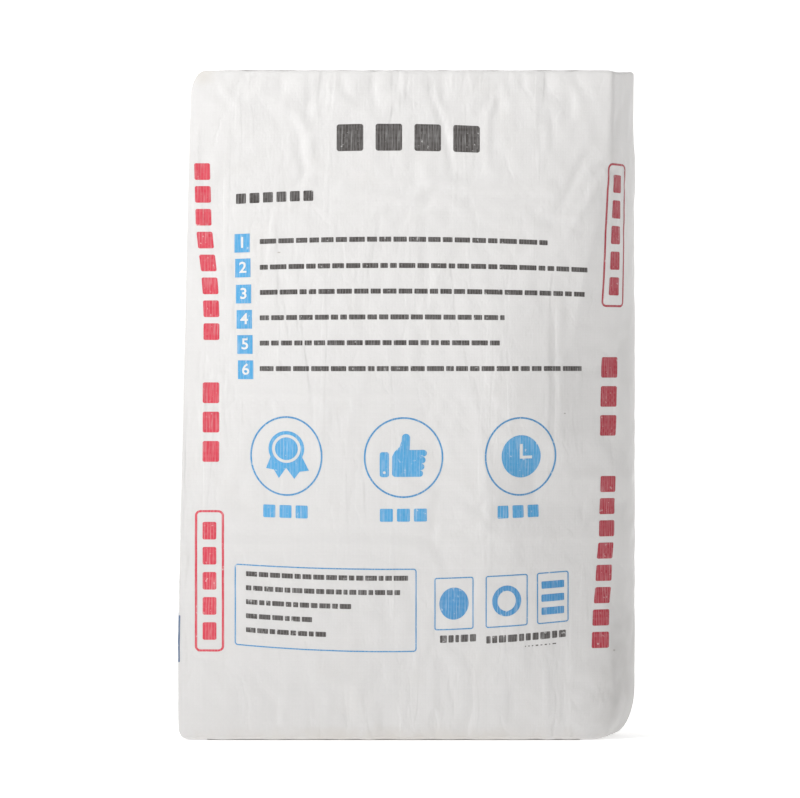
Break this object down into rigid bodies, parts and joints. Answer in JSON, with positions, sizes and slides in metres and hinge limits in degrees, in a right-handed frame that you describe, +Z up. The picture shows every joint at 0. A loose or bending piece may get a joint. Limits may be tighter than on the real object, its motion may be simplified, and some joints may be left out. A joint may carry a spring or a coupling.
{
  "type": "filled cement sack",
  "caption": "Filled block-bottom valve sack of white coated woven film for cement, standing on its flat bottom end.",
  "frame": {"origin": "centre of the sack's box on the floor that it stands on", "axes": "+Z up along the sack's height, -Y out of its front face, X across its width"},
  "size_m": [0.4349, 0.142, 0.629],
  "materials": {
    "woven_film": "coated woven polypropylene, satin",
    "cover_film": "coated woven polypropylene cover sheet, satin",
    "valve_paper": "kraft paper, matte"
  },
  "bodies": {
    "root": {"sack_body": "woven_film", "top_patch": "cover_film", "bottom_patch": "cover_film", "valve_sleeve": "valve_paper"}
  },
  "joints": []
}
